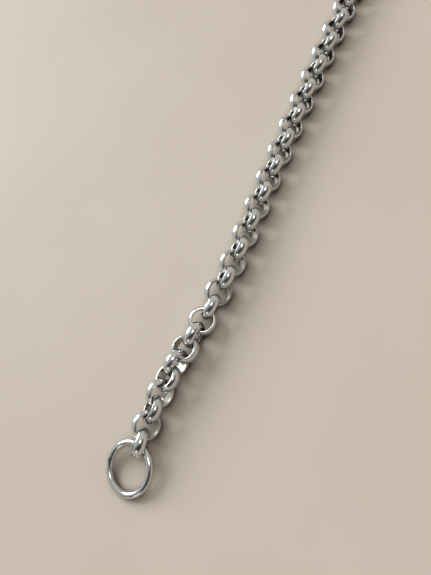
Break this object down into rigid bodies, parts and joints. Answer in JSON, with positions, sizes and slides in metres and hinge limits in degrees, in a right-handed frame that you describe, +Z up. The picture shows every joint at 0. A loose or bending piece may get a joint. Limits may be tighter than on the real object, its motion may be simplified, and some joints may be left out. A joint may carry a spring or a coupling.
{
  "type": "wallet chain",
  "caption": "Polished steel belcher chain of broad domed links with a plain end ring and a swivel trigger hook, for holding a wallet to a belt or belt loop.",
  "frame": {"origin": "centre of the end ring; the surface the chain lies on is 2.6 mm below", "axes": "+X runs along the chain from the end ring towards the hook, +Z is up"},
  "size_m": [0.3449, 0.0249, 0.0099],
  "materials": {
    "ring_steel": "bright polished stainless steel",
    "link_steel": "bright polished stainless steel, faint wear scratches",
    "hook_steel": "polished cast steel",
    "gate_steel": "polished steel bar",
    "rivet_steel": "satin steel pin and stud"
  },
  "bodies": {
    "link_30": {"link_30": "link_steel"},
    "link_29": {"link_29": "link_steel"},
    "link_28": {"link_28": "link_steel"},
    "link_27": {"link_27": "link_steel"},
    "link_26": {"link_26": "link_steel"},
    "link_25": {"link_25": "link_steel"},
    "link_24": {"link_24": "link_steel"},
    "link_23": {"link_23": "link_steel"},
    "link_22": {"link_22": "link_steel"},
    "link_21": {"link_21": "link_steel"},
    "link_20": {"link_20": "link_steel"},
    "link_19": {"link_19": "link_steel"},
    "link_18": {"link_18": "link_steel"},
    "link_17": {"link_17": "link_steel"},
    "link_16": {"link_16": "link_steel"},
    "link_15": {"link_15": "link_steel"},
    "link_14": {"link_14": "link_steel"},
    "link_13": {"link_13": "link_steel"},
    "link_12": {"link_12": "link_steel"},
    "link_11": {"link_11": "link_steel"},
    "link_10": {"link_10": "link_steel"},
    "link_09": {"link_09": "link_steel"},
    "link_08": {"link_08": "link_steel"},
    "link_07": {"link_07": "link_steel"},
    "link_06": {"link_06": "link_steel"},
    "link_05": {"link_05": "link_steel"},
    "link_04": {"link_04": "link_steel"},
    "link_03": {"link_03": "link_steel"},
    "link_02": {"link_02": "link_steel"},
    "link_01": {"link_01": "link_steel"},
    "end_ring": {"end_ring": "ring_steel"},
    "link_31": {"link_31": "link_steel"},
    "link_32": {"link_32": "link_steel"},
    "link_33": {"link_33": "link_steel"},
    "link_34": {"link_34": "link_steel"},
    "link_35": {"link_35": "link_steel"},
    "link_36": {"link_36": "link_steel"},
    "link_37": {"link_37": "link_steel"},
    "link_38": {"link_38": "link_steel"},
    "link_39": {"link_39": "link_steel"},
    "link_40": {"link_40": "link_steel"},
    "link_41": {"link_41": "link_steel"},
    "link_42": {"link_42": "link_steel"},
    "link_43": {"link_43": "link_steel"},
    "link_44": {"link_44": "link_steel"},
    "link_45": {"link_45": "link_steel"},
    "link_46": {"link_46": "link_steel"},
    "link_47": {"link_47": "link_steel"},
    "link_48": {"link_48": "link_steel"},
    "link_49": {"link_49": "link_steel"},
    "link_50": {"link_50": "link_steel"},
    "swivel_eye": {"swivel_eye": "ring_steel"},
    "hook": {"hook_body": "hook_steel", "gate_pin": "rivet_steel"},
    "gate": {"gate": "gate_steel", "thumb_stud": "rivet_steel"}
  },
  "joints": [
    {"name": "link_29_swing", "type": "hinge", "parent": "link_30", "child": "link_29", "pos_m": [0.17485, -0.00128, 0.00171], "axis": [-0.0039, 0.7431, 0.6691], "range_deg": [-35, 35]},
    {"name": "link_28_swing", "type": "hinge", "parent": "link_29", "child": "link_28", "pos_m": [0.16905, -0.00132, 0.00171], "axis": [-0.006, 0.7431, -0.6691], "range_deg": [-35, 35]},
    {"name": "link_27_swing", "type": "hinge", "parent": "link_28", "child": "link_27", "pos_m": [0.16326, -0.00138, 0.00171], "axis": [0.008, -0.7431, -0.6691], "range_deg": [-35, 35]},
    {"name": "link_26_swing", "type": "hinge", "parent": "link_27", "child": "link_26", "pos_m": [0.15747, -0.00145, 0.00171], "axis": [0.0101, -0.7431, 0.6691], "range_deg": [-35, 35]},
    {"name": "link_25_swing", "type": "hinge", "parent": "link_26", "child": "link_25", "pos_m": [0.15168, -0.00153, 0.00171], "axis": [-0.0122, 0.743, 0.6691], "range_deg": [-35, 35]},
    {"name": "link_24_swing", "type": "hinge", "parent": "link_25", "child": "link_24", "pos_m": [0.14589, -0.00164, 0.00171], "axis": [-0.0143, 0.743, -0.6691], "range_deg": [-35, 35]},
    {"name": "link_23_swing", "type": "hinge", "parent": "link_24", "child": "link_23", "pos_m": [0.1401, -0.00176, 0.00171], "axis": [0.0163, -0.743, -0.6691], "range_deg": [-35, 35]},
    {"name": "link_22_swing", "type": "hinge", "parent": "link_23", "child": "link_22", "pos_m": [0.13431, -0.00189, 0.00171], "axis": [0.0184, -0.7429, 0.6691], "range_deg": [-35, 35]},
    {"name": "link_21_swing", "type": "hinge", "parent": "link_22", "child": "link_21", "pos_m": [0.12852, -0.00204, 0.00171], "axis": [-0.0205, 0.7429, 0.6691], "range_deg": [-35, 35]},
    {"name": "link_20_swing", "type": "hinge", "parent": "link_21", "child": "link_20", "pos_m": [0.12273, -0.00221, 0.00171], "axis": [-0.0226, 0.7428, -0.6691], "range_deg": [-35, 35]},
    {"name": "link_19_swing", "type": "hinge", "parent": "link_20", "child": "link_19", "pos_m": [0.11694, -0.00239, 0.00171], "axis": [0.0246, -0.7427, -0.6691], "range_deg": [-35, 35]},
    {"name": "link_18_swing", "type": "hinge", "parent": "link_19", "child": "link_18", "pos_m": [0.11115, -0.00259, 0.00171], "axis": [0.0267, -0.7427, 0.6691], "range_deg": [-35, 35]},
    {"name": "link_17_swing", "type": "hinge", "parent": "link_18", "child": "link_17", "pos_m": [0.10536, -0.00281, 0.00171], "axis": [-0.0288, 0.7426, 0.6691], "range_deg": [-35, 35]},
    {"name": "link_16_swing", "type": "hinge", "parent": "link_17", "child": "link_16", "pos_m": [0.09957, -0.00304, 0.00171], "axis": [-0.0309, 0.7425, -0.6691], "range_deg": [-35, 35]},
    {"name": "link_15_swing", "type": "hinge", "parent": "link_16", "child": "link_15", "pos_m": [0.09379, -0.00329, 0.00171], "axis": [0.0329, -0.7424, -0.6691], "range_deg": [-35, 35]},
    {"name": "link_14_swing", "type": "hinge", "parent": "link_15", "child": "link_14", "pos_m": [0.088, -0.00356, 0.00171], "axis": [0.035, -0.7423, 0.6691], "range_deg": [-35, 35]},
    {"name": "link_13_swing", "type": "hinge", "parent": "link_14", "child": "link_13", "pos_m": [0.08221, -0.00376, 0.00171], "axis": [-0.0182, 0.7429, 0.6691], "range_deg": [-35, 35]},
    {"name": "link_12_swing", "type": "hinge", "parent": "link_13", "child": "link_12", "pos_m": [0.07642, -0.00384, 0.00171], "axis": [-0.0013, 0.7431, -0.6691], "range_deg": [-35, 35]},
    {"name": "link_11_swing", "type": "hinge", "parent": "link_12", "child": "link_11", "pos_m": [0.07063, -0.00378, 0.00172], "axis": [-0.0156, -0.7451, -0.6667], "range_deg": [-35, 35]},
    {"name": "link_10_swing", "type": "hinge", "parent": "link_11", "child": "link_10", "pos_m": [0.06484, -0.0036, 0.00181], "axis": [-0.0305, -0.6977, 0.7158], "range_deg": [-35, 35]},
    {"name": "link_09_swing", "type": "hinge", "parent": "link_10", "child": "link_09", "pos_m": [0.05906, -0.00328, 0.00198], "axis": [0.0559, 0.8414, 0.5376], "range_deg": [-35, 35]},
    {"name": "link_08_swing", "type": "hinge", "parent": "link_09", "child": "link_08", "pos_m": [0.05348, -0.00284, 0.00218], "axis": [0.0407, 0.4563, -0.8889], "range_deg": [-35, 35]},
    {"name": "link_07_swing", "type": "hinge", "parent": "link_08", "child": "link_07", "pos_m": [0.04792, -0.00228, 0.00233], "axis": [-0.1084, -0.9662, -0.2339], "range_deg": [-35, 35]},
    {"name": "link_06_swing", "type": "hinge", "parent": "link_07", "child": "link_06", "pos_m": [0.04237, -0.0016, 0.0024], "axis": [-0.0061, -0.0452, 0.999], "range_deg": [-35, 35]},
    {"name": "link_05_swing", "type": "hinge", "parent": "link_06", "child": "link_05", "pos_m": [0.03684, -0.00079, 0.00237], "axis": [-0.1545, -0.9753, 0.1581], "range_deg": [-35, 35]},
    {"name": "link_04_swing", "type": "hinge", "parent": "link_05", "child": "link_04", "pos_m": [0.03129, -0.00009, 0.00224], "axis": [-0.0364, -0.3846, -0.9224], "range_deg": [-35, 35]},
    {"name": "link_03_swing", "type": "hinge", "parent": "link_04", "child": "link_03", "pos_m": [0.02571, 0.00027, 0.00206], "axis": [0.0274, 0.8716, -0.4894], "range_deg": [-35, 35]},
    {"name": "link_02_swing", "type": "hinge", "parent": "link_03", "child": "link_02", "pos_m": [0.02011, 0.00027, 0.00187], "axis": [-0.0209, 0.6666, 0.7451], "range_deg": [-35, 35]},
    {"name": "link_01_swing", "type": "hinge", "parent": "link_02", "child": "link_01", "pos_m": [0.01453, -0.00009, 0.00175], "axis": [0.071, -0.7511, 0.6564], "range_deg": [-35, 35]},
    {"name": "end_ring_swing", "type": "hinge", "parent": "link_01", "child": "end_ring", "pos_m": [0.00899, -0.00079, 0.00195], "axis": [-0.1297, 0.8188, 0.5592], "range_deg": [-20, 55]},
    {"name": "link_31_swing", "type": "hinge", "parent": "link_30", "child": "link_31", "pos_m": [0.17485, -0.00128, 0.00171], "axis": [-0.0039, 0.7431, 0.6691], "range_deg": [-35, 35]},
    {"name": "link_32_swing", "type": "hinge", "parent": "link_31", "child": "link_32", "pos_m": [0.18064, -0.00126, 0.00171], "axis": [0.0018, -0.7431, 0.6691], "range_deg": [-35, 35]},
    {"name": "link_33_swing", "type": "hinge", "parent": "link_32", "child": "link_33", "pos_m": [0.18643, -0.00125, 0.00171], "axis": [-0.0003, -0.7431, -0.6691], "range_deg": [-35, 35]},
    {"name": "link_34_swing", "type": "hinge", "parent": "link_33", "child": "link_34", "pos_m": [0.19222, -0.00126, 0.00171], "axis": [0.0023, 0.7431, -0.6691], "range_deg": [-35, 35]},
    {"name": "link_35_swing", "type": "hinge", "parent": "link_34", "child": "link_35", "pos_m": [0.19801, -0.00129, 0.00171], "axis": [0.0044, 0.7431, 0.6691], "range_deg": [-35, 35]},
    {"name": "link_36_swing", "type": "hinge", "parent": "link_35", "child": "link_36", "pos_m": [0.20381, -0.00133, 0.00171], "axis": [-0.0065, -0.7431, 0.6691], "range_deg": [-35, 35]},
    {"name": "link_37_swing", "type": "hinge", "parent": "link_36", "child": "link_37", "pos_m": [0.2096, -0.00139, 0.00171], "axis": [-0.0086, -0.7431, -0.6691], "range_deg": [-35, 35]},
    {"name": "link_38_swing", "type": "hinge", "parent": "link_37", "child": "link_38", "pos_m": [0.21539, -0.00147, 0.00171], "axis": [0.0106, 0.7431, -0.6691], "range_deg": [-35, 35]},
    {"name": "link_39_swing", "type": "hinge", "parent": "link_38", "child": "link_39", "pos_m": [0.22118, -0.00156, 0.00171], "axis": [0.0127, 0.743, 0.6691], "range_deg": [-35, 35]},
    {"name": "link_40_swing", "type": "hinge", "parent": "link_39", "child": "link_40", "pos_m": [0.22697, -0.00166, 0.00171], "axis": [-0.0148, -0.743, 0.6691], "range_deg": [-35, 35]},
    {"name": "link_41_swing", "type": "hinge", "parent": "link_40", "child": "link_41", "pos_m": [0.23276, -0.00179, 0.00171], "axis": [-0.0169, -0.743, -0.6691], "range_deg": [-35, 35]},
    {"name": "link_42_swing", "type": "hinge", "parent": "link_41", "child": "link_42", "pos_m": [0.23855, -0.00193, 0.00171], "axis": [0.0189, 0.7429, -0.6691], "range_deg": [-35, 35]},
    {"name": "link_43_swing", "type": "hinge", "parent": "link_42", "child": "link_43", "pos_m": [0.24434, -0.00208, 0.00171], "axis": [0.021, 0.7428, 0.6691], "range_deg": [-35, 35]},
    {"name": "link_44_swing", "type": "hinge", "parent": "link_43", "child": "link_44", "pos_m": [0.25013, -0.00225, 0.00171], "axis": [-0.0231, -0.7428, 0.6691], "range_deg": [-35, 35]},
    {"name": "link_45_swing", "type": "hinge", "parent": "link_44", "child": "link_45", "pos_m": [0.25592, -0.00244, 0.00171], "axis": [-0.0252, -0.7427, -0.6691], "range_deg": [-35, 35]},
    {"name": "link_46_swing", "type": "hinge", "parent": "link_45", "child": "link_46", "pos_m": [0.26171, -0.00265, 0.00171], "axis": [0.0272, 0.7426, -0.6691], "range_deg": [-35, 35]},
    {"name": "link_47_swing", "type": "hinge", "parent": "link_46", "child": "link_47", "pos_m": [0.2675, -0.00287, 0.00171], "axis": [0.0293, 0.7426, 0.6691], "range_deg": [-35, 35]},
    {"name": "link_48_swing", "type": "hinge", "parent": "link_47", "child": "link_48", "pos_m": [0.27329, -0.0031, 0.00171], "axis": [-0.0314, -0.7425, 0.6691], "range_deg": [-35, 35]},
    {"name": "link_49_swing", "type": "hinge", "parent": "link_48", "child": "link_49", "pos_m": [0.27907, -0.00336, 0.00171], "axis": [-0.0335, -0.7424, -0.6691], "range_deg": [-35, 35]},
    {"name": "link_50_swing", "type": "hinge", "parent": "link_49", "child": "link_50", "pos_m": [0.28486, -0.00363, 0.00171], "axis": [0.0355, 0.7423, -0.6691], "range_deg": [-35, 35]},
    {"name": "swivel_eye_swing", "type": "hinge", "parent": "link_50", "child": "swivel_eye", "pos_m": [0.29064, -0.00391, 0.00171], "axis": [0.0376, 0.7422, 0.6691], "range_deg": [-35, 35]},
    {"name": "clip_swivel", "type": "hinge", "parent": "swivel_eye", "child": "hook", "pos_m": [0.30424, -0.00463, 0.0013], "axis": [0.9986, -0.0534, 0], "continuous": true},
    {"name": "clip_gate", "type": "hinge", "parent": "hook", "child": "gate", "pos_m": [0.30868, 0.00194, 0.0013], "axis": [0, 0, -1], "range_deg": [0, 24], "stiffness_Nm_per_rad": 0.02, "springref_deg": -28.65}
  ]
}
